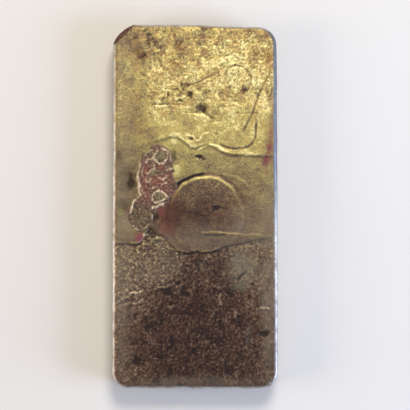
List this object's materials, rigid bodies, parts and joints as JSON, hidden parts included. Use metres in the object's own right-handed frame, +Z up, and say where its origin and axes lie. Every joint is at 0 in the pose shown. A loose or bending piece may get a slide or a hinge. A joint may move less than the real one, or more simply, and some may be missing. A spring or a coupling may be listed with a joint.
{
  "type": "metal ingot",
  "caption": "Rectangular cast metal ingot with drafted sides, rounded rim and corners, a clipped assay corner, a pour front, a round pour button and a slag crust on its free surface.",
  "frame": {"origin": "middle of the underside, which the mould's floor made, at the middle of the bar's length and width", "axes": "+Z up out of the free surface, +Y along the bar towards the end with the clipped corner, +X across the bar to the right when seen from above"},
  "size_m": [0.053, 0.117, 0.01],
  "materials": {
    "cast_metal": "satin"
  },
  "bodies": {
    "root": {"ingot": "cast_metal"}
  },
  "joints": []
}
